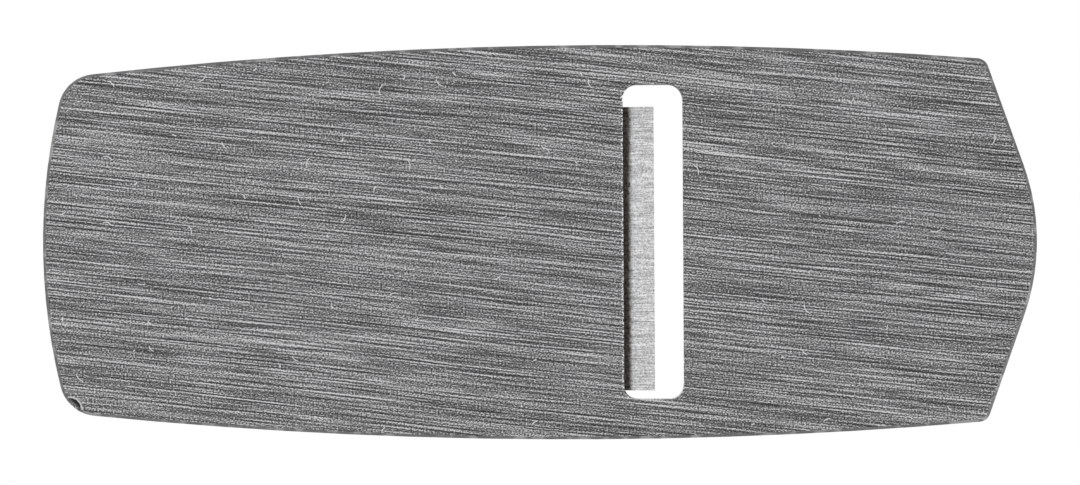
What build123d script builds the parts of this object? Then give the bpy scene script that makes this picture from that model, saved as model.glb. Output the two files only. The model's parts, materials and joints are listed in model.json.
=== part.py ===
"""Small adjustable pocket block plane.

Millimetres. The origin is the middle of the sole, +X points to the toe, +Z up.
The cutter lies bevel up on a low bed. Places on the bed are given as (a, h):
a is the distance behind the cutting edge along the bed, h the height above it.
"""

from build123d import *
from math import cos, radians, sin, tan
import os

# ---- driving dimensions -------------------------------------------------

# sole outline
TOE_X = 44.5              # toe end of the sole
HEEL_X = -44.5            # heel end of the sole
HALF_WIDTH = 17.65        # widest half width
WIDEST_X = 5.0            # where the sole is widest
SIDE_R = 430.0            # gentle curve of each side
HEEL_R = 54.0             # curve of the heel end
NOSE_R = 20.0             # round nose of the toe
NOSE_ANGLE = 19.5         # how far each nose flank leans back
HEEL_CORNER_R = 3.4
TOE_CORNER_R = 1.1
FLANK_REACH = 30.0        # the nose flanks are drawn out to here, then cut by the sides

# casting
SOLE_T = 3.0              # sole plate
CHEEK_T = 2.8             # cheeks and end walls
INSIDE_CORNER_R = 1.5
WALL_Z = 5.5              # top of the low walls at toe and heel
CREST_START_X = 24.0      # where the cheek starts to rise from the toe wall
SWEEP_R = 12.0            # hollow sweep at each foot of the cheek
CREST_R = 21.0            # round crest of the cheek
SWEEP_ANGLE = 60.0
SOLE_EDGE = 0.25          # broken edge around the sole
RIM_R = 0.6               # rounded rim of the walls
NICK_X = -42.15           # a knock in the sole's left heel corner
NICK_Y = 14.65
NICK_Z = -0.3
NICK_R = 0.98

# mouth
MOUTH_REAR = 7.46
MOUTH_FRONT = 12.83
MOUTH_W = 28.2
MOUTH_R = 1.3
THROAT_CHAMFER = 1.6      # the mouth's front wall leans away above the sole

# bed and cutter
BED_ANGLE = 20.0
EDGE_X = 10.23            # cutting edge at rest
EDGE_Z = 0.05
IRON_L = 55.0
IRON_W = 25.4
IRON_T = 2.0
IRON_Y = 0.6              # the cutter sits this far to one side
IRON_BEVEL = 25.0
IRON_CORNER_R = 5.0
BED_GAP = 0.03            # sliding gap under and over the cutter
RAMP_LIP = 0.1            # the front bed starts this far behind the mouth
RAMP_LIP_T = 0.5
RAMP_END = 15.0           # the front bed ends here
RAMP_DEPTH = 4.5          # the ramp's back face reaches into the sole plate
RAMP_CUT_H = 3.0          # room over the ramp where it passes through the sole plate
REST_START = 29.0         # rear rest, which also holds the feed stud
REST_END = 36.0
REST_W = 16.0
REST_DEPTH = 10.4         # its faces reach into the sole plate
REST_SKEW = 2.4

# feed: stud, lock nut and flanged nut below the cutter
STUD_R = 2.0
STUD_H = -5.2
STUD_START = 30.5
STUD_END = 52.5
STUD_CHAMFER = 0.4
LOCK_FLATS = 7.0
LOCK_T = 2.2
RUN_GAP = 0.05            # radial gap of a turning or screwed fit
FLANGE_A = 46.0           # middle of the flange, and of the groove it sits in
FLANGE_R = 6.0
FLANGE_T = 1.2
NUT_R = 4.85
NUT_L = 6.2
NUT_NECK_L = 0.6
NUT_NECK_STEP = 0.8
NUT_CHAMFER = 0.4
GROOVE_W = 1.4
GROOVE_DEPTH = 0.95
GROOVE_LENGTH = 10.0
GROOVE_PITCH = 2.2
GROOVE_COUNT = 5

# lever cap, cross screw
ROD_A = 20.0
ROD_H = 7.6
ROD_R = 2.5
ROD_END = 0.35            # both ends of the cross screw stop short of the cheek face
ROD_HEAD_R = 3.6
ROD_HEAD_T = 1.1
HOOK_ANGLE = 30.0         # the hook wraps the cross screw to this far above level
SLOT_W = 0.9
SLOT_DEPTH = 0.6
CAP_HALF_W = 12.0
CAP_FRONT = 5.6
LIP_W = 2.2               # the lip that bears on the cutter
LIP_T = 0.4
LIP_SLOPE = 0.5
LIP_STEP = 0.6            # the underside steps up from the lip
SKIRT_RISE = 1.9          # the cap's underside rises this much to the rear
CAP_REAR = 47.0
CAP_REAR_T = 2.6
CAP_REAR_R = 9.0
CAP_TOP_H = 11.3
CAP_SHOULDER_A = 24.0     # the arched top ends here and falls to the hook
CAP_SHOULDER_H = 10.1
CAP_SHOULDER_R = 1.5
CAP_EDGE_R = 2.0
CAP_CEILING_H = 6.9
CAP_SKIRT = 2.2
CAP_BOSS_R = 5.0
CAP_BOSS_GAP = 1.0        # room between the boss and the clamp knob
POCKET_START = 25.0
POCKET_R = 5.0

# clamp screw
CLAMP_A = 36.0
CLAMP_R = 2.5
PAD_R = 3.75
PAD_TOP_H = 5.6
PAD_DOME_R = 8.0
SPIGOT_R = 1.5
SPIGOT_END_H = 3.2
RING_H = 4.2
RING_T = 0.4
RING_IN_R = 1.2
RING_OUT_R = 1.9
RING_GAP = 0.9
KNOB_BOTTOM_H = 12.6
KNOB_TOP_H = 18.8
CLAMP_KNOB_R = 6.2
KNOB_NECK_R = 4.0
KNOB_NECK_T = 1.0
KNOB_CHAMFER = 0.6
KNOB_CAP_T = 1.8          # metal left over the end of the clamp screw

# toe knob
TOE_KNOB_X = 28.5
BOSS_R = 6.8
BOSS_TOP = 8.0
TOE_KNOB_TOP = 25.0
TOE_KNOB_R = 8.3
TOE_KNOB_BASE_R = 7.2
TOE_KNOB_WAIST_R = 5.3
KNOB_SCREW_R = 2.0
KNOB_SCREW_END = 2.2
KNOB_HEAD_R = 3.6
KNOB_HEAD_T = 1.7
KNOB_HEAD_RIM = 0.5
WASHER_R = 4.6
WASHER_T = 0.8
WASHER_CHAMFER = 0.3
SEAT_DEPTH = 1.0          # recess in the knob's top for the washer
KNOB_GAP = 0.1            # loose fit of the knob, its washer and its screw
KNOB_FOOT = 1.4           # heights of the knob's profile above the boss
KNOB_WAIST = 5.0
KNOB_SHOULDER = 9.0
KNOB_BULGE = 12.4
KNOB_RIM_W = 0.8          # flat rim around the washer
KNOB_SHANK_LAP = 1.0      # the head's profile starts this far down the shank

# set screws that steer the cutter
SET_A = 9.0
SET_H = 1.0
SET_R = 1.5
SET_L = 4.0
HEX_R = 0.87              # corner radius of the hexagon socket
HEX_DEPTH = 1.4
FIT_GAP = 0.02            # gap around pieces that don't move in their holes

CLEAR = 1.0               # cuts run this far past the material
TOUCH = 0.01              # two places closer than this are the same

# ---- planes of the bed --------------------------------------------------

rear_dir = Vector(-cos(radians(BED_ANGLE)), 0, sin(radians(BED_ANGLE)))
up_dir = Vector(sin(radians(BED_ANGLE)), 0, cos(radians(BED_ANGLE)))
edge_point = Vector(EDGE_X, 0, EDGE_Z)
bed_side = Plane(origin=edge_point, x_dir=rear_dir, z_dir=(0, 1, 0))    # sketch in (a, h)
bed_top = Plane(origin=edge_point, x_dir=rear_dir, z_dir=up_dir)        # sketch in (a, -y)
up_axis = Axis((0, 0, 0), up_dir)


def bed_point(a, h, y=0.0):
    """World position of a place given along and above the bed."""
    return bed_side.from_local_coords((a, h, y))


def stud_plane(a):
    """Plane across the feed stud, facing the heel."""
    return Plane(origin=bed_point(a, STUD_H), x_dir=(0, 1, 0), z_dir=rear_dir)


def clamp_plane(h):
    """Plane across the clamp screw, facing up from the cutter."""
    return Plane(origin=bed_point(CLAMP_A, h), x_dir=(0, 1, 0), z_dir=up_dir)


def across_plane(point, side):
    """Plane across the width at the given side's cheek, facing outwards."""
    return Plane(origin=point, x_dir=(side, 0, 0), z_dir=(0, side, 0))


# ---- sole outline -------------------------------------------------------


def plan_shape(inset, heel_corner, toe_corner):
    """The sole's outline, drawn in by an even inset."""
    side_r = SIDE_R - inset
    side_y = SIDE_R - HALF_WIDTH
    nose_r = NOSE_R - inset
    tip_x = TOE_X - NOSE_R + nose_r / cos(radians(NOSE_ANGLE))
    flank_x = tip_x - FLANK_REACH * tan(radians(NOSE_ANGLE))
    with BuildSketch() as shape:
        with Locations((WIDEST_X, -side_y)):
            Circle(side_r)
        with Locations((WIDEST_X, side_y)):
            Circle(side_r, mode=Mode.INTERSECT)
        with Locations((HEEL_X + HEEL_R, 0)):
            Circle(HEEL_R - inset, mode=Mode.INTERSECT)
        with BuildLine():
            Polyline((tip_x, 0), (flank_x, FLANK_REACH), (HEEL_X - FLANK_REACH, FLANK_REACH),
                     (HEEL_X - FLANK_REACH, -FLANK_REACH), (flank_x, -FLANK_REACH), close=True)
        make_face(mode=Mode.INTERSECT)
        fillet(shape.vertices().sort_by(Axis.X)[-1], radius=nose_r)
        fillet(shape.vertices().sort_by(Axis.X)[:2], radius=heel_corner)
        toe_y = shape.vertices().sort_by(Axis.Y)[-1].Y
        fillet([v for v in shape.vertices() if abs(v.Y) > toe_y - TOUCH], radius=toe_corner)
    return shape.sketch


# ---- body ---------------------------------------------------------------

crest_z = WALL_Z + (SWEEP_R + CREST_R) * (1 - cos(radians(SWEEP_ANGLE)))
rod_center = bed_point(ROD_A, ROD_H)
set_center = bed_point(SET_A, SET_H)
rod_half = HALF_WIDTH - (WIDEST_X - rod_center.X) ** 2 / (2 * SIDE_R) - ROD_END
bed_start = bed_side.to_local_coords(Vector(MOUTH_REAR + RAMP_LIP, 0, 1)).X

with BuildPart() as body:
    with BuildSketch():
        add(plan_shape(0, HEEL_CORNER_R, TOE_CORNER_R))
    extrude(amount=crest_z + CLEAR)
    with BuildSketch(Plane.XY.offset(SOLE_T)):
        add(plan_shape(CHEEK_T, INSIDE_CORNER_R, INSIDE_CORNER_R))
    extrude(amount=crest_z, mode=Mode.SUBTRACT)

    # cheeks: low walls, hollow sweeps and a round crest
    with BuildSketch(Plane.XZ):
        with BuildLine():
            toe_wall = Line((TOE_X + CLEAR, WALL_Z), (CREST_START_X, WALL_Z))
            front_sweep = JernArc(toe_wall @ 1, toe_wall % 1, SWEEP_R, -SWEEP_ANGLE)
            crest = JernArc(front_sweep @ 1, front_sweep % 1, CREST_R, 2 * SWEEP_ANGLE)
            rear_sweep = JernArc(crest @ 1, crest % 1, SWEEP_R, -SWEEP_ANGLE)
            Polyline(rear_sweep @ 1, (HEEL_X - CLEAR, WALL_Z), (HEEL_X - CLEAR, crest_z + 2 * CLEAR),
                     (TOE_X + CLEAR, crest_z + 2 * CLEAR), toe_wall @ 0)
        make_face()
    extrude(amount=HALF_WIDTH + CLEAR, both=True, mode=Mode.SUBTRACT)
    fillet([e for e in body.edges() if e.bounding_box().min.Z > WALL_Z - TOUCH], radius=RIM_R)

    # front bed: a ramp across the inside, cut open down to the mouth
    with BuildSketch(bed_side):
        with BuildLine():
            Polyline((bed_start, -BED_GAP), (RAMP_END, -BED_GAP), (RAMP_END, -RAMP_DEPTH),
                     (bed_start, -BED_GAP - RAMP_LIP_T), close=True)
        make_face()
    extrude(amount=HALF_WIDTH - CHEEK_T, both=True)
    with BuildSketch(bed_side):
        with BuildLine():
            Polyline((bed_start, -BED_GAP), (RAMP_END, -BED_GAP), (RAMP_END, RAMP_CUT_H),
                     (bed_start, RAMP_CUT_H), close=True)
        make_face()
    extrude(amount=MOUTH_W / 2, both=True, mode=Mode.SUBTRACT)

    # rear rest, bored for the feed stud
    with BuildSketch(bed_side):
        with BuildLine():
            Polyline((REST_START, -BED_GAP), (REST_END, -BED_GAP), (REST_END, -REST_DEPTH),
                     (REST_START, REST_SKEW - REST_DEPTH), close=True)
        make_face()
    extrude(amount=REST_W / 2, both=True)
    with BuildSketch(stud_plane(STUD_START)):
        Circle(STUD_R + FIT_GAP)
    extrude(amount=REST_END - STUD_START + CLEAR, mode=Mode.SUBTRACT)

    # toe boss for the finger knob
    with BuildSketch(Plane.XY.offset(SOLE_T / 2)):
        with Locations((TOE_KNOB_X, 0)):
            Circle(BOSS_R)
    extrude(amount=BOSS_TOP - SOLE_T / 2)
    with BuildSketch(Plane.XY.offset(KNOB_SCREW_END - FIT_GAP)):
        with Locations((TOE_KNOB_X, 0)):
            Circle(KNOB_SCREW_R + FIT_GAP)
    extrude(amount=BOSS_TOP, mode=Mode.SUBTRACT)

    # mouth, with its front wall leaning away above the sole
    with BuildSketch():
        with Locations(((MOUTH_REAR + MOUTH_FRONT) / 2, 0)):
            RectangleRounded(MOUTH_FRONT - MOUTH_REAR, MOUTH_W, MOUTH_R)
    extrude(amount=SOLE_T, mode=Mode.SUBTRACT)
    with BuildSketch(Plane.XZ):
        with BuildLine():
            Polyline((MOUTH_FRONT - CLEAR, SOLE_T - THROAT_CHAMFER), (MOUTH_FRONT, SOLE_T - THROAT_CHAMFER),
                     (MOUTH_FRONT + THROAT_CHAMFER, SOLE_T), (MOUTH_FRONT - CLEAR, SOLE_T), close=True)
        make_face()
    extrude(amount=MOUTH_W / 2 - MOUTH_R, both=True, mode=Mode.SUBTRACT)

    # cross screw: a hole through both cheeks, its head let into the right one
    with BuildSketch(across_plane(rod_center, 1)):
        Circle(ROD_R + FIT_GAP)
    extrude(amount=HALF_WIDTH + CLEAR, both=True, mode=Mode.SUBTRACT)
    with BuildSketch(across_plane(rod_center, -1).offset(rod_half - ROD_HEAD_T - FIT_GAP)):
        Circle(ROD_HEAD_R + FIT_GAP)
    extrude(amount=HALF_WIDTH, mode=Mode.SUBTRACT)

    # set screw holes, from each cheek in to the edge of the cutter
    for side in (-1, 1):
        with BuildSketch(across_plane(set_center, side).offset(IRON_W / 2 + side * IRON_Y)):
            Circle(SET_R + FIT_GAP)
        extrude(amount=HALF_WIDTH, mode=Mode.SUBTRACT)

    chamfer(body.faces().sort_by(Axis.Z)[0].outer_wire().edges(), length=SOLE_EDGE)
    with Locations((NICK_X, NICK_Y, NICK_Z)):
        Sphere(NICK_R, mode=Mode.SUBTRACT)

body.part.label = "body"

# ---- cutter -------------------------------------------------------------

with BuildPart() as iron:
    with BuildSketch(bed_side.offset(IRON_Y)):
        with BuildLine():
            Polyline((0, 0), (IRON_L, 0), (IRON_L, IRON_T),
                     (IRON_T / tan(radians(IRON_BEVEL)), IRON_T), close=True)
        make_face()
    extrude(amount=IRON_W / 2, both=True)
    fillet(iron.edges().filter_by(up_axis).sort_by(Axis.X)[:2], radius=IRON_CORNER_R)
    for i in range(GROOVE_COUNT):
        groove_a = FLANGE_A + (i - (GROOVE_COUNT - 1) / 2) * GROOVE_PITCH
        with BuildSketch(bed_top):
            with Locations((groove_a, 0)):
                Rectangle(GROOVE_W, GROOVE_LENGTH)
        extrude(amount=GROOVE_DEPTH, mode=Mode.SUBTRACT)

iron.part.label = "iron"

# ---- feed stud, lock nut, feed nut --------------------------------------

with BuildPart() as feed_stud:
    with BuildSketch(stud_plane(STUD_START)):
        Circle(STUD_R)
    extrude(amount=STUD_END - STUD_START)
    chamfer(feed_stud.edges().sort_by(Axis.X)[0], length=STUD_CHAMFER)

feed_stud.part.label = "feed_stud"

with BuildPart() as stud_nut:
    with BuildSketch(stud_plane(REST_END + FIT_GAP)):
        RegularPolygon(LOCK_FLATS / 2, 6, major_radius=False)
        Circle(STUD_R + FIT_GAP, mode=Mode.SUBTRACT)
    extrude(amount=LOCK_T)

stud_nut.part.label = "stud_nut"

flange_front = FLANGE_A - FLANGE_T / 2
wheel_front = flange_front + FLANGE_T + NUT_NECK_L
wheel_rear = wheel_front + NUT_L
bore_h = STUD_H + STUD_R + RUN_GAP
wheel_h = STUD_H + NUT_R
neck_h = wheel_h - NUT_NECK_STEP
with BuildPart() as feed_nut:
    with BuildSketch(bed_side):
        with BuildLine():
            Polyline((flange_front, bore_h), (flange_front, STUD_H + FLANGE_R),
                     (flange_front + FLANGE_T, STUD_H + FLANGE_R), (flange_front + FLANGE_T, neck_h),
                     (wheel_front, neck_h), (wheel_front, wheel_h - NUT_CHAMFER),
                     (wheel_front + NUT_CHAMFER, wheel_h), (wheel_rear - NUT_CHAMFER, wheel_h),
                     (wheel_rear, wheel_h - NUT_CHAMFER), (wheel_rear, bore_h), close=True)
        make_face()
    revolve(axis=Axis(bed_point(0, STUD_H), rear_dir))

feed_nut.part.label = "feed_nut"

# ---- lever cap ----------------------------------------------------------

hook_r = ROD_R + RUN_GAP
hook_a = hook_r * cos(radians(HOOK_ANGLE))
hook_h = hook_r * sin(radians(HOOK_ANGLE))
seat_h = IRON_T + BED_GAP
skirt_rear_h = seat_h + SKIRT_RISE
boss_top_h = KNOB_BOTTOM_H - CAP_BOSS_GAP
with BuildPart() as lever_cap:
    with BuildSketch(bed_side):
        with BuildLine():
            belly = Polyline((ROD_A, ROD_H - hook_r), (CAP_FRONT + LIP_SLOPE, seat_h + LIP_T + LIP_SLOPE),
                             (CAP_FRONT, seat_h + LIP_T), (CAP_FRONT, seat_h), (CAP_FRONT + LIP_W, seat_h),
                             (CAP_FRONT + LIP_W + LIP_STEP, seat_h + LIP_STEP), (CAP_REAR, skirt_rear_h),
                             (CAP_REAR, skirt_rear_h + CAP_REAR_T))
            back = ThreePointArc(belly @ 1, (CLAMP_A, CAP_TOP_H), (CAP_SHOULDER_A, CAP_SHOULDER_H))
            Line(back @ 1, (ROD_A + hook_a, ROD_H + hook_h))
            ThreePointArc((ROD_A + hook_a, ROD_H + hook_h), (ROD_A + hook_a, ROD_H - hook_h),
                          (ROD_A, ROD_H - hook_r))
        make_face()
    extrude(amount=CAP_HALF_W, both=True)

    # rounded in plan at the rear, and along the rim of the arched top
    fillet(lever_cap.edges().filter_by(up_axis).sort_by(Axis.X)[:2], radius=CAP_REAR_R)
    shoulder = bed_point(CAP_SHOULDER_A, CAP_SHOULDER_H)
    fillet(lever_cap.edges().filter_by(Axis.Y).sort_by_distance(shoulder)[0], radius=CAP_SHOULDER_R)
    arch = lever_cap.faces().filter_by(GeomType.CYLINDER).sort_by(SortBy.AREA)[-1]
    fillet(arch.edges() - arch.edges().sort_by_distance(shoulder)[:1], radius=CAP_EDGE_R)

    # hollow below, with a boss bored for the clamp screw
    with BuildSketch(bed_top):
        with Locations(((POCKET_START + CAP_REAR - CAP_SKIRT) / 2, 0)):
            RectangleRounded(CAP_REAR - CAP_SKIRT - POCKET_START, 2 * (CAP_HALF_W - CAP_SKIRT), POCKET_R)
    extrude(amount=CAP_CEILING_H, mode=Mode.SUBTRACT)
    with BuildSketch(clamp_plane(CAP_CEILING_H)):
        Circle(CAP_BOSS_R)
    extrude(amount=boss_top_h - CAP_CEILING_H)
    with BuildSketch(clamp_plane(CAP_CEILING_H)):
        Circle(CLAMP_R + RUN_GAP)
    extrude(amount=boss_top_h, mode=Mode.SUBTRACT)

lever_cap.part.label = "lever_cap"

# ---- cross screw --------------------------------------------------------

with BuildPart() as cross_screw:
    with BuildSketch(across_plane(rod_center, 1)):
        Circle(ROD_R)
    extrude(amount=rod_half, both=True)
    with BuildSketch(across_plane(rod_center, -1).offset(rod_half - ROD_HEAD_T)):
        Circle(ROD_HEAD_R)
    extrude(amount=ROD_HEAD_T)
    with BuildSketch(across_plane(rod_center, -1).offset(rod_half)):
        Rectangle(2 * ROD_HEAD_R + CLEAR, SLOT_W)
    extrude(amount=-SLOT_DEPTH, mode=Mode.SUBTRACT)

cross_screw.part.label = "cross_screw"

# ---- clamp screw, knob, pad and snap ring -------------------------------

shoulder_h = PAD_TOP_H + RUN_GAP
shank_top_h = KNOB_TOP_H - KNOB_CAP_T
with BuildPart() as clamp_screw:
    with BuildSketch(clamp_plane(shoulder_h)):
        Circle(CLAMP_R)
    extrude(amount=shank_top_h - shoulder_h)
    with BuildSketch(clamp_plane(SPIGOT_END_H)):
        Circle(SPIGOT_R)
    extrude(amount=shoulder_h - SPIGOT_END_H)
    with BuildSketch(clamp_plane(RING_H - RUN_GAP)):
        Circle(SPIGOT_R)
        Circle(RING_IN_R - RUN_GAP, mode=Mode.SUBTRACT)
    extrude(amount=RING_T + 2 * RUN_GAP, mode=Mode.SUBTRACT)

clamp_screw.part.label = "clamp_screw"

with BuildPart() as clamp_knob:
    with BuildSketch(clamp_plane(KNOB_BOTTOM_H)):
        Circle(KNOB_NECK_R)
    extrude(amount=KNOB_NECK_T)
    with BuildSketch(clamp_plane(KNOB_BOTTOM_H + KNOB_NECK_T)):
        Circle(CLAMP_KNOB_R)
    extrude(amount=KNOB_TOP_H - KNOB_BOTTOM_H - KNOB_NECK_T)
    chamfer(clamp_knob.faces().sort_by(up_axis)[-1].edges(), length=KNOB_CHAMFER)
    with BuildSketch(clamp_plane(KNOB_BOTTOM_H)):
        Circle(CLAMP_R)
    extrude(amount=shank_top_h - KNOB_BOTTOM_H, mode=Mode.SUBTRACT)

clamp_knob.part.label = "clamp_knob"

pad_edge_h = seat_h + PAD_DOME_R - (PAD_DOME_R ** 2 - PAD_R ** 2) ** 0.5
bore_a = CLAMP_A + SPIGOT_R + RUN_GAP
ring_a = CLAMP_A + RING_OUT_R + 2 * RUN_GAP
pad_floor_h = SPIGOT_END_H - 2 * RUN_GAP
with BuildPart() as clamp_pad:
    with BuildSketch(bed_side):
        with BuildLine():
            dome = RadiusArc((CLAMP_A, seat_h), (CLAMP_A + PAD_R, pad_edge_h), -PAD_DOME_R)
            Polyline(dome @ 1, (CLAMP_A + PAD_R, PAD_TOP_H), (bore_a, PAD_TOP_H),
                     (bore_a, RING_H + RING_T + RUN_GAP), (ring_a, RING_H + RING_T + RUN_GAP),
                     (ring_a, RING_H - RUN_GAP), (bore_a, RING_H - RUN_GAP),
                     (bore_a, pad_floor_h), (CLAMP_A, pad_floor_h), (CLAMP_A, seat_h))
        make_face()
    revolve(axis=Axis(bed_point(CLAMP_A, 0), up_dir))

clamp_pad.part.label = "clamp_pad"

with BuildPart() as pad_ring:
    with BuildSketch(clamp_plane(RING_H)):
        Circle(RING_OUT_R)
        Circle(RING_IN_R, mode=Mode.SUBTRACT)
        with Locations((RING_OUT_R, 0)):
            Rectangle(2 * RING_OUT_R, RING_GAP, mode=Mode.SUBTRACT)
    extrude(amount=RING_T)

pad_ring.part.label = "pad_ring"

# ---- toe knob, its washer and screw -------------------------------------

knob_side = Plane(origin=(TOE_KNOB_X, 0, 0), x_dir=(1, 0, 0), z_dir=(0, -1, 0))
knob_axis = Axis((TOE_KNOB_X, 0, 0), (0, 0, 1))
knob_seat = TOE_KNOB_TOP - SEAT_DEPTH
seat_r = WASHER_R + KNOB_GAP
head_z = knob_seat + WASHER_T
with BuildPart() as toe_knob:
    with BuildSketch(knob_side):
        with BuildLine():
            foot = Polyline((KNOB_SCREW_R + KNOB_GAP, BOSS_TOP), (TOE_KNOB_BASE_R, BOSS_TOP),
                            (TOE_KNOB_BASE_R, BOSS_TOP + KNOB_FOOT))
            waist = ThreePointArc(foot @ 1, (TOE_KNOB_WAIST_R, BOSS_TOP + KNOB_WAIST),
                                  (TOE_KNOB_BASE_R, BOSS_TOP + KNOB_SHOULDER))
            crown = ThreePointArc(waist @ 1, (TOE_KNOB_R, BOSS_TOP + KNOB_BULGE),
                                  (seat_r + KNOB_RIM_W, TOE_KNOB_TOP))
            Polyline(crown @ 1, (seat_r, TOE_KNOB_TOP), (seat_r, knob_seat),
                     (KNOB_SCREW_R + KNOB_GAP, knob_seat), foot @ 0)
        make_face()
    revolve(axis=knob_axis)

toe_knob.part.label = "toe_knob"

with BuildPart() as knob_washer:
    with BuildSketch(Plane.XY.offset(knob_seat)):
        with Locations((TOE_KNOB_X, 0)):
            Circle(WASHER_R)
            Circle(KNOB_SCREW_R + KNOB_GAP, mode=Mode.SUBTRACT)
    extrude(amount=WASHER_T)
    chamfer(knob_washer.faces().sort_by(Axis.Z)[-1].outer_wire().edges(), length=WASHER_CHAMFER)

knob_washer.part.label = "knob_washer"

profile_z = head_z - KNOB_SHANK_LAP
head_rise = KNOB_HEAD_T - KNOB_HEAD_RIM
head_dome_r = (KNOB_HEAD_R ** 2 + head_rise ** 2) / (2 * head_rise)
with BuildPart() as knob_screw:
    with BuildSketch(Plane.XY.offset(KNOB_SCREW_END)):
        with Locations((TOE_KNOB_X, 0)):
            Circle(KNOB_SCREW_R)
    extrude(amount=profile_z - KNOB_SCREW_END)
    with BuildSketch(knob_side):
        with BuildLine():
            under = Polyline((0, profile_z), (KNOB_SCREW_R, profile_z), (KNOB_SCREW_R, head_z),
                             (KNOB_HEAD_R, head_z), (KNOB_HEAD_R, head_z + KNOB_HEAD_T - head_rise))
            top = RadiusArc(under @ 1, (0, head_z + KNOB_HEAD_T), -head_dome_r)
            Line(top @ 1, under @ 0)
        make_face()
    revolve(axis=knob_axis)
    with BuildSketch(Plane.XY.offset(head_z + KNOB_HEAD_T)):
        with Locations((TOE_KNOB_X, 0)):
            Rectangle(2 * KNOB_HEAD_R + CLEAR, SLOT_W)
    extrude(amount=-SLOT_DEPTH, mode=Mode.SUBTRACT)

knob_screw.part.label = "knob_screw"

# ---- set screws ---------------------------------------------------------

with BuildPart() as side_screws:
    for side in (-1, 1):
        tip = IRON_W / 2 + side * IRON_Y + BED_GAP
        with BuildSketch(across_plane(set_center, side).offset(tip)):
            Circle(SET_R)
        extrude(amount=SET_L)
        with BuildSketch(across_plane(set_center, side).offset(tip + SET_L)):
            RegularPolygon(HEX_R, 6)
        extrude(amount=-HEX_DEPTH, mode=Mode.SUBTRACT)

side_screws.part.label = "side_screws"

# ---- files --------------------------------------------------------------

os.makedirs("parts", exist_ok=True)
export_step(body.part, "parts/body.step")
export_step(iron.part, "parts/iron.step")
export_step(feed_stud.part, "parts/feed_stud.step")
export_step(stud_nut.part, "parts/stud_nut.step")
export_step(feed_nut.part, "parts/feed_nut.step")
export_step(lever_cap.part, "parts/lever_cap.step")
export_step(cross_screw.part, "parts/cross_screw.step")
export_step(clamp_screw.part, "parts/clamp_screw.step")
export_step(clamp_knob.part, "parts/clamp_knob.step")
export_step(clamp_pad.part, "parts/clamp_pad.step")
export_step(pad_ring.part, "parts/pad_ring.step")
export_step(toe_knob.part, "parts/toe_knob.step")
export_step(knob_washer.part, "parts/knob_washer.step")
export_step(knob_screw.part, "parts/knob_screw.step")
export_step(side_screws.part, "parts/side_screws.step")
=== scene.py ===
"""A small pocket block plane, looked at from straight below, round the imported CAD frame."""
import json
import math
import bpy
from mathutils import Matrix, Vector

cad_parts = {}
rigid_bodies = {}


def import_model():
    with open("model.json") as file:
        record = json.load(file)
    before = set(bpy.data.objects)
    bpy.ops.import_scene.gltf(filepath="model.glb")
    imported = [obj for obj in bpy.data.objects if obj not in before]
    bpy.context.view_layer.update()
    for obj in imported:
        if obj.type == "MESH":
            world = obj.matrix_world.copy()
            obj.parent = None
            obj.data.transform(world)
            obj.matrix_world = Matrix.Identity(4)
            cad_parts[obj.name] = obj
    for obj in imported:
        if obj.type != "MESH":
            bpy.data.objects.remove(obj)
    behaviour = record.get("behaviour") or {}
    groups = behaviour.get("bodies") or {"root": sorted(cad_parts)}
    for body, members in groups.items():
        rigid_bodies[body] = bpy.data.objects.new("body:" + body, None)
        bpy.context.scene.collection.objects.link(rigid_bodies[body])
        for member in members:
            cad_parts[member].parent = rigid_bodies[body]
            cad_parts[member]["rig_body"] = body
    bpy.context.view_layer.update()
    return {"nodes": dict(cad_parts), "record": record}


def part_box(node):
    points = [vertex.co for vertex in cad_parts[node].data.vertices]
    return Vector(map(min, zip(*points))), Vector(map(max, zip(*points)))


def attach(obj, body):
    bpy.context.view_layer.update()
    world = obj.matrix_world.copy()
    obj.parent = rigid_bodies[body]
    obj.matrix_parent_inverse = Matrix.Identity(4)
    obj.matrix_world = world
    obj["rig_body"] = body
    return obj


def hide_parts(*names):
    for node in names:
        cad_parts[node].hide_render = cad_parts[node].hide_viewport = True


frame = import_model()
nodes = frame["nodes"]
joints = {j["name"]: j for j in frame["record"]["behaviour"]["joints"]}
scene = bpy.context.scene

MM = 0.001

# ---- places taken from the frame ----------------------------------------

body_low, body_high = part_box("body")
EDGE_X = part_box("iron")[1].x                                    # cutting edge
KNOB_X = sum(v.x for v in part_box("toe_knob")) / 2
FEED_AXIS = Vector(joints["cutter_feed"]["axis"]).normalized()  # along the bed, to the edge
REARWARD = -FEED_AXIS
BED_UP = Vector(joints["clamp_turn"]["axis"]).normalized()
NUT_CENTRE = Vector(joints["feed_turn"]["pos_m"])
CLAMP_CENTRE = Vector(joints["clamp_turn"]["pos_m"])

# ---- sizes that the CAD has too -----------------------------------------

WIDEST_X = 5.0 * MM                # where the sole is widest
SIDE_R = 430.0 * MM                # gentle curve of each side
HEEL_R = 54.0 * MM                 # curve of the heel end
HEEL_CORNER = Vector((-39.68, 11.9, 0.0)) * MM
HEEL_CORNER_R = 3.4 * MM
NOSE_R = 20.0 * MM                 # round nose of the toe
NOSE_ANGLE = math.radians(19.5)    # how far each nose flank leans back
NOSE_SLOPE = math.tan(NOSE_ANGLE)
NOSE_GAIN = NOSE_R * (1 / math.cos(NOSE_ANGLE) - 1)   # the flanks would meet this far past the toe
MOUTH_X = 10.1 * MM                # middle of the mouth
MOUTH_REAR = 7.46 * MM
NICK = Vector((-42.15, 14.65, -0.3)) * MM   # a knock in the sole's heel corner
NICK_R = 0.98 * MM
BEVEL_BACK = 4.3 * MM              # the cutter's bevel ends this far up from its edge

# ---- sizes that only the looks have -------------------------------------

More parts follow.
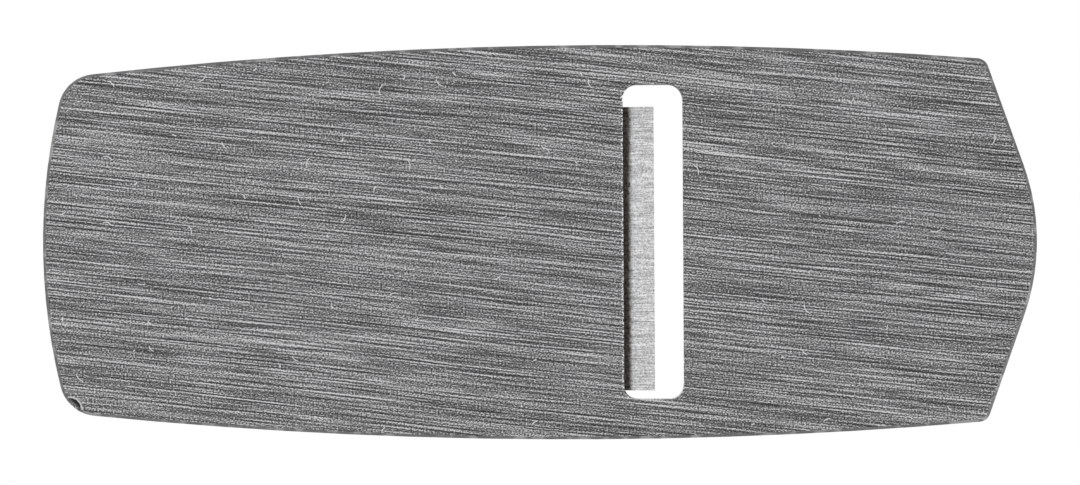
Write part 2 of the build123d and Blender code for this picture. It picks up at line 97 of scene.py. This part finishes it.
SKIN = 0.7 * MM                    # how deep under the outside the ground finish reaches
NOSE_LENGTH = 2.0 * MM             # only this much of the toe is taken as the round nose
MOUTH_REACH = 4.4 * MM             # the mouth's walls are bare this far from its middle
MOUTH_TOP = 3.1 * MM               # and up to here
CHIPS_REACH = 13.4 * MM            # chips along the mouth's rear edge stop this far out
BRIGHT_RIM_HEIGHT = 0.3 * MM               # height of the rim painted bright: wear and a painted highlight
LAPPED = 2.4 * MM                  # bright strip along the cutter's edge, on its back
LIP_BARE = 6.9 * MM                # the cap's lip is bare this far from the cutting edge
RING_WIDTH = 1.3 * MM              # growth rings of the knob's wood
HEART_OFFSET = 14.0 * MM           # from the knob's axis to the middle of the rings

STREAK_TILT = math.radians(6.3)    # the grinding lines are this far off the sole's length
START_SHIFT = 7.0                  # how far lines start apart, in line lengths
ROWS_TOGETHER = 0.3                # how soon a line's start differs from its neighbour's
START_SLICE = 1.7                  # each layer reads the noise this far from the last one
LINE_SLICE = 7.3
SPECKLE = 0.52
SPECKLES_ALONG = 6500.0            # grains to a metre
SPECKLES_ACROSS = 10000.0
WALL_CONTRAST = 0.25               # the cheeks and ends are ground finer than the sole

# layers of grinding lines: length and width (mm), distance of a line's bright lip (mm), share
SOLE_LAYERS = (
    (11.0, 0.13, 0.17, 0.31),
    (3.5, 0.12, 0.0, 0.25),
    (14.0, 1.1, 0.0, 0.09),
)
CUTTER_LAYERS = (
    (3.0, 0.10, 0.0, 0.40),
    (4.0, 0.5, 0.0, 0.15),
    (0.16, 0.11, 0.0, 0.45),
)
SOLE_MIDDLE = 0.5 * sum(layer[3] for layer in SOLE_LAYERS)


def grey(level, warm=0.0):
    """A linear grey, a little warm."""
    return (level * (1 + warm), level, level * (1 - warm), 1.0)


# ramps from a sum of lines or noises to a colour
SOLE_TONES = [(0.36, grey(0.05)), (0.447, grey(0.13)), (0.5, grey(0.215)),
              (0.558, grey(0.35)), (0.648, grey(0.75))]
STRIP_TONES = [(0.3, grey(0.2)), (0.5, grey(0.36)), (0.7, grey(0.52))]
BEVEL_TONES = [(0.3, grey(0.42)), (0.5, grey(0.6)), (0.7, grey(0.8))]
STEEL_TONES = [(0.3, grey(0.22)), (0.7, grey(0.42))]
DARK_BACK_TONES = [(0.35, (0.02, 0.017, 0.014, 1.0)), (0.65, (0.24, 0.2, 0.175, 1.0))]
WOOD_TONES = [(0.2, (0.055, 0.018, 0.009, 1.0)), (0.5, (0.16, 0.055, 0.024, 1.0)),
              (0.85, (0.29, 0.115, 0.05, 1.0))]
STAIN = (0.16, 0.13, 0.10, 1.0)
PORE = (0.02, 0.008, 0.004, 1.0)
BRASS_DARK = (0.42, 0.24, 0.07, 1.0)
BRASS_LIGHT = (0.78, 0.55, 0.24, 1.0)


# ---- shader graphs ------------------------------------------------------

class Graph:
    """A material's nodes, added one by one. Any input may be a value or another node's output."""

    def __init__(self, name):
        self.material = bpy.data.materials.new(name)
        self.material.use_nodes = True
        self.tree = self.material.node_tree
        self.bsdf = self.tree.nodes["Principled BSDF"]
        spot = self.add("ShaderNodeTexCoord")
        self.place = spot.outputs["Object"]
        self.facing = spot.outputs["Normal"]
        self.x, self.y, self.z = self.parts(self.place)

    def put(self, socket, value):
        if isinstance(value, bpy.types.NodeSocket):
            self.tree.links.new(value, socket)
        else:
            socket.default_value = value

    def add(self, kind, inputs=(), **settings):
        node = self.tree.nodes.new(kind)
        for key, value in settings.items():
            setattr(node, key, value)
        for key, value in dict(inputs).items():
            self.put(node.inputs[key], value)
        return node

    def surface(self, **inputs):
        for key, value in inputs.items():
            self.put(self.bsdf.inputs[key.replace("_", " ")], value)

    def parts(self, vector):
        return self.add("ShaderNodeSeparateXYZ", {0: vector}).outputs

    def vector(self, x, y, z=0.0):
        return self.add("ShaderNodeCombineXYZ", {0: x, 1: y, 2: z}).outputs[0]

    def compute(self, operation, a, b=0.0):
        return self.add("ShaderNodeMath", {0: a, 1: b}, operation=operation).outputs[0]

    def times(self, product, *others):
        for other in others:
            product = self.compute("MULTIPLY", product, other)
        return product

    def plus(self, total, *others):
        for other in others:
            total = self.compute("ADD", total, other)
        return total

    def minus(self, a, b):
        return self.compute("SUBTRACT", a, b)

    def size(self, a):
        return self.compute("ABSOLUTE", a)

    def square(self, a):
        return self.compute("POWER", a, 2.0)

    def above(self, a, limit):
        return self.compute("GREATER_THAN", a, limit)

    def below(self, a, limit):
        return self.compute("LESS_THAN", a, limit)

    def distance(self, a, b):
        node = self.add("ShaderNodeVectorMath", {0: a, 1: b}, operation="DISTANCE")
        return node.outputs["Value"]

    def noise(self, vector, scale, detail=2.0, rough=0.5):
        inputs = {"Vector": vector, "Scale": scale, "Detail": detail, "Roughness": rough}
        return self.add("ShaderNodeTexNoise", inputs).outputs["Fac"]

    def step(self, value, low, high, to_low=0.0, to_high=1.0):
        """Smooth step from to_low to to_high as a value goes from low to high."""
        inputs = {"Value": value, "From Min": low, "From Max": high, "To Min": to_low, "To Max": to_high}
        return self.add("ShaderNodeMapRange", inputs, interpolation_type="SMOOTHSTEP").outputs["Result"]

    def mix(self, factor, a, b):
        """Mix of two colours."""
        inputs = {"Factor": factor, 6: a, 7: b}
        return self.add("ShaderNodeMix", inputs, data_type="RGBA").outputs[2]

    def blend(self, factor, a, b):
        """Mix of two numbers."""
        return self.add("ShaderNodeMix", {0: factor, 2: a, 3: b}, data_type="FLOAT").outputs[0]

    def ramp(self, value, stops):
        node = self.add("ShaderNodeValToRGB", {0: value})
        elements = node.color_ramp.elements
        while len(elements) < len(stops):
            elements.new(1.0)
        for element, (place, colour) in zip(elements, stops):
            element.position = place
            element.color = colour
        return node.outputs[0]

    def bump(self, height, distance, strength):
        inputs = {"Height": height, "Distance": distance, "Strength": strength}
        return self.add("ShaderNodeBump", inputs).outputs[0]


# ---- grinding lines and marks -------------------------------------------

def lines(g, row, along_it, length, layer):
    """One layer of lines, each row starting at its own place along the grain."""
    start = g.noise(g.vector(START_SLICE * layer, g.times(row, ROWS_TOGETHER)), 1.0, detail=0.0)
    run = g.plus(g.times(along_it, 1 / length), g.times(start, START_SHIFT))
    return g.noise(g.vector(run, row, LINE_SLICE * layer), 1.0, detail=0.0)


def streaks(g, across, along_it, layers):
    """Sum of all layers of lines.

    A layer with a lip has a light line beside every dark one, as a scratch throws one up.
    """
    total = 0.0
    for layer, (length, width, lip, share) in enumerate(layers):
        row = g.times(across, 1 / (width * MM))
        part = lines(g, row, along_it, length * MM, layer)
        if lip:
            beside = lines(g, g.plus(row, lip / width), along_it, length * MM, layer)
            part = g.plus(g.minus(part, beside), 0.5)
        total = g.plus(g.times(part, share), total)
    return total


def dashes(g, x, y, cell, half_length, half_width, bend, share):
    """Short bent marks, at most one to a cell, each turned its own way. 1 on a mark, 0 off it."""
    spots = {"Vector": g.vector(x, y), "Scale": 1 / cell}
    cells = g.add("ShaderNodeTexVoronoi", spots, voronoi_dimensions="2D")
    middle = g.parts(cells.outputs["Position"])
    chance = g.parts(cells.outputs["Color"])
    turn = g.times(chance[0], math.tau)
    dx = g.minus(x, middle[0])
    dy = g.minus(y, middle[1])
    cosine = g.compute("COSINE", turn)
    sine = g.compute("SINE", turn)
    u = g.plus(g.times(dx, cosine), g.times(dy, sine))
    v = g.minus(g.times(dy, cosine), g.times(dx, sine))
    bow = g.times(g.square(u), bend / half_length)
    on_line = g.step(g.size(g.minus(v, bow)), half_width, half_width * 0.4)
    within = g.below(g.size(u), g.times(g.plus(chance[1], 0.4), half_length))
    chosen = g.below(chance[2], share)
    return g.times(on_line, within, chosen)


def dusted(g, ground, sole):
    """Fibres, dust and a few dark pits on the sole."""
    fibres = dashes(g, g.x, g.y, cell=6.5 * MM, half_length=0.36 * MM, half_width=0.055 * MM,
                    bend=0.28, share=0.6)
    dust = dashes(g, g.x, g.plus(g.y, 3.1 * MM), cell=5.5 * MM, half_length=0.16 * MM,
                  half_width=0.07 * MM, bend=0.0, share=0.4)
    pits = dashes(g, g.plus(g.x, 5.3 * MM), g.y, cell=13.0 * MM, half_length=0.12 * MM,
                  half_width=0.10 * MM, bend=0.0, share=0.25)
    ground = g.mix(g.times(g.compute("MAXIMUM", fibres, dust), sole, 0.95), ground, grey(0.85))
    return g.mix(g.times(pits, sole, 0.9), ground, grey(0.015, 0.1))


def rim_wear_and_highlight(g, ground, upright):
    """The broken edge round the sole, painted bright here and there: wear, and a painted highlight where
    the edge catches the light.
    """
    on_rim = g.times(g.step(upright, 0.97, 0.85), g.below(g.z, BRIGHT_RIM_HEIGHT))
    patches = g.step(g.noise(g.place, 700.0, detail=3.0), 0.5, 0.64, 0.22, 1.0)
    # grey patches on the rim: wear, and a painted highlight on the edge
    return g.mix(g.times(on_rim, patches), ground, grey(0.6))


def mouth_chips(g, ground, sole):
    """Bright crumbs along the mouth's rear edge."""
    near = g.step(g.size(g.minus(g.x, MOUTH_REAR)), 0.2 * MM, 0.1 * MM)
    crumbs = g.step(g.noise(g.place, 4200.0, detail=1.0), 0.52, 0.58)
    within = g.below(g.size(g.y), CHIPS_REACH)
    return g.mix(g.times(near, crumbs, within, sole), ground, grey(0.95))


def knocked(g, ground, sole, speckle):
    """The knock in the heel corner: painted shade on its inner side, grey on its outer side, with a
    bright burr.
    """
    away = g.distance(g.place, NICK)
    outward = g.minus(g.minus(g.y, g.x), NICK.y - NICK.x)
    flecked = g.mix(g.step(speckle, -0.08, 0.08), grey(0.12), grey(0.5))
    # the near-black on the dent's inner side is painted shade in the hollow
    dent_with_shade = g.mix(g.step(outward, -1.1 * MM, -0.7 * MM), grey(0.03, 0.05), flecked)
    ground = g.mix(g.step(away, NICK_R + 0.04 * MM, NICK_R + 0.01 * MM), ground, dent_with_shade)
    off_burr = g.size(g.minus(away, NICK_R + 0.12 * MM))
    burr = g.times(g.step(off_burr, 0.09 * MM, 0.04 * MM), sole, 0.8)
    return g.mix(burr, ground, grey(0.7))


def ground_faces(g):
    """1 on the sole and on the outside of the cheeks and ends, 0 inside the casting."""
    off_middle = g.size(g.y)
    side_drop = g.times(g.square(g.minus(g.x, WIDEST_X)), 0.5 / SIDE_R)
    on_side = g.above(g.plus(off_middle, side_drop), body_high.y - SKIN)
    flat = g.vector(g.x, g.y)
    on_heel = g.above(g.distance(flat, (body_low.x + HEEL_R, 0.0, 0.0)), HEEL_R - SKIN)
    flank = g.plus(g.x, g.times(off_middle, NOSE_SLOPE))
    on_flank = g.above(flank, body_high.x + NOSE_GAIN - SKIN)
    off_nose = g.distance(flat, (body_high.x - NOSE_R, 0.0, 0.0))
    on_nose = g.times(g.above(off_nose, NOSE_R - SKIN), g.above(g.x, body_high.x - NOSE_LENGTH))
    off_corner = g.distance(g.vector(g.x, off_middle), HEEL_CORNER)
    past_corner = g.times(g.below(g.x, HEEL_CORNER.x), g.above(off_middle, HEEL_CORNER.y))
    on_corner = g.times(g.above(off_corner, HEEL_CORNER_R - SKIN), past_corner)
    in_mouth = g.times(g.below(g.z, MOUTH_TOP), g.below(g.size(g.minus(g.x, MOUTH_X)), MOUTH_REACH))
    outside = g.below(g.z, SKIN)
    for part in (on_side, on_heel, on_flank, on_nose, on_corner, in_mouth):
        outside = g.compute("MAXIMUM", outside, part)
    return outside


# ---- materials ----------------------------------------------------------

def up_the_bed(g):
    """Distance from the cutting edge, up along the bed."""
    return g.times(g.minus(EDGE_X, g.x), 1 / abs(FEED_AXIS.x))


def casting_material():
    """Iron casting: ground sole and cheeks, dark rough paint inside."""
    g = Graph("ground_casting")
    facing_x, facing_y, facing_z = g.parts(g.facing)
    upright = g.size(facing_z)
    level = g.step(upright, 0.55, 0.8)
    end = g.times(g.above(g.size(facing_x), g.size(facing_y)), g.minus(1.0, level))
    sole = g.below(facing_z, -0.8)

    along_it = g.blend(end, g.x, g.y)
    sway = g.times(g.minus(g.noise(g.place, 24.0, detail=1.0), 0.5), 1.0 * MM)
    across = g.plus(g.blend(level, g.z, g.y), g.times(along_it, -math.tan(STREAK_TILT)), sway)
    grain = streaks(g, across, along_it, SOLE_LAYERS)
    flecks = g.vector(g.times(g.x, SPECKLES_ALONG), g.times(g.y, SPECKLES_ACROSS),
                      g.times(g.z, SPECKLES_ACROSS))
    speckle = g.times(g.minus(g.noise(flecks, 1.0, detail=0.0), 0.5), SPECKLE)
    contrast = g.blend(sole, WALL_CONTRAST, 1.0)
    tone = g.plus(g.times(g.plus(g.minus(grain, SOLE_MIDDLE), speckle), contrast), 0.5)

    ground = g.ramp(tone, SOLE_TONES)
    ground = dusted(g, ground, sole)
    ground = rim_wear_and_highlight(g, ground, upright)
    ground = mouth_chips(g, ground, sole)
    ground = knocked(g, ground, sole, speckle)

    paint_grain = g.noise(g.place, 1600.0, detail=3.0, rough=0.6)
    paint = g.mix(paint_grain, grey(0.018), grey(0.035, 0.05))
    bare = ground_faces(g)
    height = g.plus(g.times(bare, 0.02 * MM, grain),
                    g.times(paint_grain, g.blend(bare, 0.06 * MM, 0.0)))
    g.surface(Base_Color=g.mix(bare, paint, ground), Metallic=g.times(bare, 0.9),
              Roughness=g.blend(bare, 0.55, g.step(tone, 0.4, 0.62, 0.5, 0.4)),
              Normal=g.bump(height, 1.0, 0.6))
    return g.material


def cutter_material():
    """Tool steel: bright ground bevel and lapped strip at the edge; further up, dark and mottled on the
    back and stained on the top.
    """
    g = Graph("cutter_steel")
    back = up_the_bed(g)
    ragged = g.times(g.minus(g.noise(g.place, 3000.0, detail=3.0), 0.5), 1.0 * MM)
    lapped = g.step(g.plus(back, ragged), LAPPED + 0.15 * MM, LAPPED - 0.25 * MM)
    grain = streaks(g, g.y, g.plus(back, g.z), CUTTER_LAYERS)
    # beyond the lapped strip the cutter's back is dark, mottled brown-black
    dark_back = g.ramp(g.noise(g.place, 4200.0, detail=3.0, rough=0.7), DARK_BACK_TONES)
    under = g.mix(lapped, dark_back, g.ramp(grain, STRIP_TONES))

    stained = g.step(g.noise(g.place, 180.0, detail=3.0), 0.35, 0.7)
    upper = g.mix(g.times(stained, 0.5), g.ramp(grain, STEEL_TONES), STAIN)
    bevel = g.step(back, BEVEL_BACK + 0.1 * MM, BEVEL_BACK - 0.1 * MM)
    over = g.mix(bevel, upper, g.ramp(grain, BEVEL_TONES))

    down = g.step(g.parts(g.facing)[2], 0.0, -0.5)
    g.surface(Base_Color=g.mix(down, over, under), Metallic=g.blend(down, 0.95, 0.5),
              Roughness=g.step(grain, 0.3, 0.7, 0.42, 0.3),
              Normal=g.bump(grain, 0.02 * MM, 0.4))
    return g.material


def metal_material(name, dark, light, roughness):
    """Turned metal with fine tarnish, specks and handling marks."""
    g = Graph(name)
    tarnish = g.noise(g.place, 260.0, detail=5.0, rough=0.6)
    fine = g.noise(g.place, 2340.0, detail=3.0, rough=0.6)
    wear = g.plus(tarnish, g.times(fine, 0.5))
    g.surface(Base_Color=g.mix(g.step(tarnish, 0.35, 0.68), light, dark), Metallic=1.0,
              Roughness=g.step(wear, 0.5, 1.0, roughness - 0.05, roughness + 0.12),
              Normal=g.bump(fine, 0.012 * MM, 0.35))
    return g.material


def enamel_material():
    """Black enamel with a fine orange peel, rubbed through along the lip."""
    g = Graph("black_enamel")
    peel = g.noise(g.place, 1400.0)
    rub = g.noise(g.place, 500.0, detail=5.0, rough=0.65)
    rubbed_to = g.plus(up_the_bed(g), g.times(rub, 0.35 * MM))
    bare = g.step(rubbed_to, LIP_BARE + 0.12 * MM, LIP_BARE)
    paint = g.mix(rub, grey(0.010), grey(0.022, 0.04))
    g.surface(Base_Color=g.mix(bare, paint, grey(0.5)), Metallic=bare,
              Roughness=g.step(rub, 0.3, 0.75, 0.16, 0.34), Normal=g.bump(peel, 0.03 * MM, 0.35),
              Coat_Weight=0.3, Coat_Roughness=0.1)
    return g.material


def wood_material():
    """Dark close-grained hardwood, oiled, its grain along the knob's axis."""
    g = Graph("oiled_hardwood")
    bend = g.times(g.noise(g.place, 60.0), 5.0 * MM)
    off_heart = g.minus(g.plus(g.x, bend), KNOB_X - HEART_OFFSET)
    ring = g.compute("SQRT", g.plus(g.square(off_heart), g.square(g.y)))
    bands = g.compute("PINGPONG", g.times(ring, 1 / RING_WIDTH), 1.0)
    figure = g.plus(g.times(bands, 0.6), g.times(g.noise(g.place, 380.0, detail=4.0), 0.5))
    stretched = g.vector(g.times(g.x, 5200.0), g.times(g.y, 5200.0), g.times(g.z, 420.0))
    pores = g.step(g.noise(stretched, 1.0), 0.60, 0.68)
    g.surface(Base_Color=g.mix(g.times(pores, 0.75), g.ramp(figure, WOOD_TONES), PORE),
              Roughness=g.step(pores, 0.0, 1.0, 0.3, 0.55),
              Normal=g.bump(g.times(pores, -1.0), 0.05 * MM, 0.5),
              Coat_Weight=0.35, Coat_Roughness=0.18)
    return g.material


steel = metal_material("turned_steel", grey(0.3), grey(0.55), 0.28)
dark_steel = metal_material("black_oxide", grey(0.05), grey(0.1), 0.38)
brass = metal_material("turned_brass", BRASS_DARK, BRASS_LIGHT, 0.24)
finishes = {
    "body": casting_material(),
    "iron": cutter_material(),
    "lever_cap": enamel_material(),
    "toe_knob": wood_material(),
    "cross_screw": steel, "feed_stud": steel, "stud_nut": steel, "clamp_screw": steel,
    "feed_nut": brass, "clamp_knob": brass, "clamp_pad": brass, "knob_washer": brass, "knob_screw": brass,
    "pad_ring": dark_steel, "side_screws": dark_steel,
}
for name, material in finishes.items():
    nodes[name].data.materials.clear()
    nodes[name].data.materials.append(material)


# ---- turned, knurled and threaded pieces --------------------------------

SHARP = math.radians(35)           # a sharper turn than this shows as an edge
KNURL_POINTS = 8                   # points to a tooth, round the turn
KNURL_STEP = 0.12 * MM             # between two rows of a knurl
KNURL_RISE = 1.25                  # a slope of 1 would come to a point, and more leaves a flat top
THREAD_RISE = 1.3
M4_PITCH = 0.7 * MM
M5_PITCH = 0.8 * MM


def along(node, origin, axis):
    """Lowest and highest place of a CAD node's points along an axis, and its radius about it."""
    offsets = [v.co - origin for v in nodes[node].data.vertices]
    span = [offset.dot(axis) for offset in offsets]
    reach = [(offset - t * axis).length for offset, t in zip(offsets, span)]
    return min(span), max(span), max(reach)


def turned(name, node, origin, axis, rows, segments, relief, ring=False):
    """Solid of revolution about an axis, from rows of (place along it, radius).

    relief changes a row's radius round the turn. A ring's last row joins its first;
    any other piece closes at both ends on the axis.
    """
    across = Vector((0.0, 1.0, 0.0))
    third = axis.cross(across)
    points = []
    for t, r in rows:
        for i in range(segments):
            angle = math.tau * i / segments
            out = across * math.cos(angle) + third * math.sin(angle)
            points.append(origin + axis * t + out * relief(t, angle, r))
    faces = []
    count = len(rows)
    for j in range(count if ring else count - 1):
        k = (j + 1) % count
        for i in range(segments):
            n = (i + 1) % segments
            faces.append((j * segments + i, j * segments + n, k * segments + n, k * segments + i))
    if not ring:
        for row, turn in ((0, -1), (count - 1, 1)):
            centre = len(points)
            points.append(origin + axis * rows[row][0])
            for i in range(segments):
                n = (i + 1) % segments
                corner = (row * segments + i, row * segments + n)
                faces.append((*corner[::turn], centre))
    mesh = bpy.data.meshes.new(name)
    mesh.from_pydata(points, [], faces)
    mesh.validate()
    mesh.shade_smooth()
    mesh.set_sharp_from_angle(angle=SHARP)
    piece = bpy.data.objects.new(name, mesh)
    scene.collection.objects.link(piece)
    mesh.materials.append(finishes[node])
    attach(piece, nodes[node]["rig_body"])
    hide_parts(node)


def tooth(turns):
    """0 in a groove and 1 halfway between two grooves."""
    part = turns % 1.0
    return 2 * min(part, 1 - part)


def diamond_knurl(teeth, radius, depth, start, end):
    """Relief of crossing grooves between two places along the axis."""
    lead = math.tau * radius / teeth
    full = radius - 0.0001 * MM

    def relief(t, angle, r):
        if not start < t < end or r < full:
            return r
        turn = angle * teeth / math.tau
        height = min(tooth(turn + t / lead), tooth(turn - t / lead))
        return r - depth * (1 - min(1.0, height * KNURL_RISE))
    return relief


def thread(pitch, depth, start, end):
    """Relief of a right-hand screw thread between two places along the axis."""
    def relief(t, angle, r):
        if not start < t < end:
            return r
        height = tooth(t / pitch - angle / math.tau)
        return r - depth * (1 - min(1.0, THREAD_RISE * height))
    return relief


def spread(start, end, radius, step):
    """Rows of one radius, evenly spaced."""
    count = max(2, round((end - start) / step))
    return [(start + (end - start) * i / count, radius) for i in range(count + 1)]


def clamp_knob():
    """Knurled brass head: neck, bevelled rims, dished top."""
    low, high, r = along("clamp_knob", CLAMP_CENTRE, BED_UP)
    neck = 0.645 * r
    neck_bevel = 0.25 * MM
    under = low + 1.0 * MM
    rim = 0.55 * MM
    dish = ((0.0, 0.72), (0.12, 0.69), (0.35, 0.6), (0.45, 0.3))   # depth (mm), share of the radius
    rows = [(low, neck - neck_bevel), (low + neck_bevel, neck), (under, neck), (under, r - rim),
            (under + rim * 0.8, r)]
    rows += spread(under + rim, high - rim * 1.2, r, KNURL_STEP)
    rows += [(high - rim, r), (high - 0.05 * MM, r - rim), (high, r - rim - 0.1 * MM)]
    rows += [(high - depth * MM, r * share) for depth, share in dish]
    teeth = 42
    relief = diamond_knurl(teeth, r, 0.32 * MM, under + rim, high - rim)
    turned("clamp_knob_knurled", "clamp_knob", CLAMP_CENTRE, BED_UP, rows, teeth * KNURL_POINTS, relief)


def feed_nut():
    """Knurled brass nut with a thin flange, bored for the stud."""
    front, rear, flange = along("feed_nut", NUT_CENTRE, REARWARD)
    bore = along("feed_stud", NUT_CENTRE, REARWARD)[2] + 0.05 * MM
    wheel = 4.85 * MM
    neck = wheel - 0.8 * MM
    neck_start = front + 1.2 * MM
    neck_end = neck_start + 0.6 * MM
    bevel = 0.15 * MM
    rim = 0.45 * MM
    recess = 0.25 * MM
    rows = [(front, bore + 0.25 * MM), (front, flange - bevel), (front + bevel, flange),
            (neck_start - bevel, flange), (neck_start, flange - bevel), (neck_start, neck),
            (neck_end, neck), (neck_end, wheel - rim), (neck_end + rim * 0.8, wheel)]
    rows += spread(neck_end + rim, rear - rim, wheel, KNURL_STEP)
    rows += [(rear - rim * 0.8, wheel), (rear, wheel - rim), (rear, wheel * 0.66),
             (rear - recess, wheel * 0.62), (rear - recess, bore + 0.2 * MM),
             (rear - recess - 0.2 * MM, bore), (front + 0.25 * MM, bore)]
    teeth = 34
    relief = diamond_knurl(teeth, wheel, 0.3 * MM, neck_end + rim, rear - rim)
    turned("feed_nut_knurled", "feed_nut", NUT_CENTRE, REARWARD, rows, teeth * KNURL_POINTS, relief,
           ring=True)


def feed_stud():
    """Threaded stud with a bevelled end."""
    front, rear, r = along("feed_stud", NUT_CENTRE, REARWARD)
    bevel = 0.4 * MM
    rows = [(front, r)] + spread(front + 0.05 * MM, rear - bevel - 0.1 * MM, r, 0.1 * MM)
    rows += [(rear - bevel, r - 0.05 * MM), (rear, r - bevel), (rear, r * 0.5)]
    relief = thread(M4_PITCH, 0.36 * MM, front, rear - bevel - 0.05 * MM)
    turned("feed_stud_threaded", "feed_stud", NUT_CENTRE, REARWARD, rows, 60, relief)


def stud_nut():
    """Hexagon lock nut, its corners bevelled on both faces."""
    front, rear, corner = along("stud_nut", NUT_CENTRE, REARWARD)
    bore = along("feed_stud", NUT_CENTRE, REARWARD)[2] + 0.02 * MM
    flat = corner * math.cos(math.pi / 6)
    bevel = 0.35 * MM
    lead_in = 0.2 * MM

    def hexagon(_, angle, r):
        if r <= bore + 0.3 * MM:
            return r
        side = (angle + math.pi / 6) % (math.pi / 3) - math.pi / 6
        return min(r, flat / math.cos(math.pi / 6 - abs(side)))
    rows = [(front, bore + lead_in), (front, corner - 2 * bevel), (front + bevel, corner),
            (rear - bevel, corner), (rear, corner - 2 * bevel), (rear, bore + lead_in),
            (rear - lead_in, bore), (front + lead_in, bore)]
    turned("stud_nut_hexagon", "stud_nut", NUT_CENTRE, REARWARD, rows, 144, hexagon, ring=True)


def clamp_screw():
    """Threaded spindle with a thin grooved spigot that turns in the pad."""
    low, high, r = along("clamp_screw", CLAMP_CENTRE, BED_UP)
    spigot = 1.5 * MM
    spigot_bevel = 0.2 * MM
    groove = low + 0.95 * MM
    groove_end = groove + 0.5 * MM
    groove_r = 1.15 * MM
    shoulder = low + 2.45 * MM
    bevel = 0.3 * MM
    top_bevel = 0.1 * MM
    rows = [(low, spigot - spigot_bevel), (low + spigot_bevel, spigot), (groove, spigot),
            (groove, groove_r), (groove_end, groove_r), (groove_end, spigot),
            (shoulder, spigot), (shoulder, r - bevel), (shoulder + bevel, r)]
    rows += spread(shoulder + bevel + 0.05 * MM, high - top_bevel, r, 0.11 * MM)
    rows += [(high, r - top_bevel)]
    relief = thread(M5_PITCH, 0.42 * MM, shoulder + bevel, high - top_bevel)
    turned("clamp_screw_threaded", "clamp_screw", CLAMP_CENTRE, BED_UP, rows, 66, relief)


clamp_knob()
feed_nut()
feed_stud()
stud_nut()
clamp_screw()


# ---- broken edges on the screws and the washer --------------------------

def soften(node, width):
    """Joins a CAD node's facets and breaks its sharp edges."""
    weld = nodes[node].modifiers.new("join", "WELD")
    weld.merge_threshold = 0.001 * MM
    bevel = nodes[node].modifiers.new("edges", "BEVEL")
    bevel.width = width
    bevel.segments = 2
    bevel.limit_method = "ANGLE"
    bevel.angle_limit = SHARP
    bevel.harden_normals = True


for name, width in (("cross_screw", 0.15), ("knob_screw", 0.12), ("knob_washer", 0.08)):
    soften(name, width * MM)

# ---- camera -------------------------------------------------------------

FRAME_WIDTH = 96.65 * MM           # what the view takes in at the sole
CAMERA_LENS = 200.0
CAMERA_SENSOR = 36.0
CAMERA_ROLL = math.radians(0.33)
camera_data = bpy.data.cameras.new("camera")
camera_data.lens = CAMERA_LENS
camera_data.sensor_width = CAMERA_SENSOR
camera = bpy.data.objects.new("camera", camera_data)
camera.location = (0.0, 0.0, -FRAME_WIDTH * CAMERA_LENS / CAMERA_SENSOR)
camera.rotation_euler = (math.pi, 0.0, CAMERA_ROLL)
scene.collection.objects.link(camera)
scene.camera = camera

# ---- floor, world, lights -----------------------------------------------

FLOOR_DROP = 0.3 * MM
FLOOR_SIZE = 4.0
FADE_START = 0.2                   # from here to FADE_END a painted glow turns the floor as white as the background
FADE_END = 1.3
FADE_GLOW = 0.62

LAMPS = (                          # name, place (m), side of its square (m), watts
    ("under_soft", (0.2, -0.05, -0.7), 0.7, 0.76),
    ("under_rear", (-0.45, 0.0, -0.54), 0.35, 1.2),
    ("over_key", (-0.3, -0.35, 0.6), 0.7, 4.5),
    ("over_fill", (0.45, 0.35, 0.5), 0.7, 2.5),
)


def floor():
    """Pale floor under the sole, clear from below, with a painted glow that grows towards its far edge.
    """
    mesh = bpy.data.meshes.new("floor")
    h = FLOOR_SIZE / 2
    mesh.from_pydata([(-h, -h, 0), (h, -h, 0), (h, h, 0), (-h, h, 0)], [], [(0, 1, 2, 3)])
    plane = bpy.data.objects.new("floor", mesh)
    plane.location = (0, 0, body_low.z - FLOOR_DROP)
    scene.collection.objects.link(plane)
    g = Graph("floor_paper")
    away = g.add("ShaderNodeVectorMath", {0: g.place}, operation="LENGTH").outputs["Value"]
    g.surface(Base_Color=grey(0.82), Roughness=0.9, Emission_Color=grey(1.0),
              Emission_Strength=g.step(away, FADE_START, FADE_END, 0.0, FADE_GLOW))
    below = g.add("ShaderNodeNewGeometry").outputs["Backfacing"]
    clear = g.add("ShaderNodeBsdfTransparent").outputs[0]
    mixed = g.add("ShaderNodeMixShader", {0: below, 1: g.bsdf.outputs[0], 2: clear}).outputs[0]
    g.put(g.tree.nodes["Material Output"].inputs["Surface"], mixed)
    mesh.materials.append(g.material)
    plane.visible_shadow = False
    plane.visible_diffuse = False
    plane.visible_glossy = False


def world_light():
    """White behind the object, soft grey light all round."""
    world = bpy.data.worlds.new("studio")
    scene.world = world
    world.use_nodes = True
    tree = world.node_tree
    background = tree.nodes["Background"]
    background.inputs["Color"].default_value = (0.9, 0.9, 0.92, 1.0)
    background.inputs["Strength"].default_value = 0.5
    seen = tree.nodes.new("ShaderNodeBackground")
    seen.inputs["Color"].default_value = (1.0, 1.0, 1.0, 1.0)
    path = tree.nodes.new("ShaderNodeLightPath")
    mixed = tree.nodes.new("ShaderNodeMixShader")
    tree.links.new(path.outputs["Is Camera Ray"], mixed.inputs[0])
    tree.links.new(background.outputs[0], mixed.inputs[1])
    tree.links.new(seen.outputs[0], mixed.inputs[2])
    tree.links.new(mixed.outputs[0], tree.nodes["World Output"].inputs["Surface"])


def area_light(name, where, side, watts):
    """Square lamp that points at the origin."""
    data = bpy.data.lights.new(name, "AREA")
    data.shape = "SQUARE"
    data.size = side
    data.energy = watts
    lamp = bpy.data.objects.new(name, data)
    lamp.location = where
    lamp.rotation_euler = (-Vector(where)).to_track_quat("-Z", "Y").to_euler()
    scene.collection.objects.link(lamp)


scene.view_settings.view_transform = "Standard"
floor()
world_light()
for lamp in LAMPS:
    area_light(*lamp)
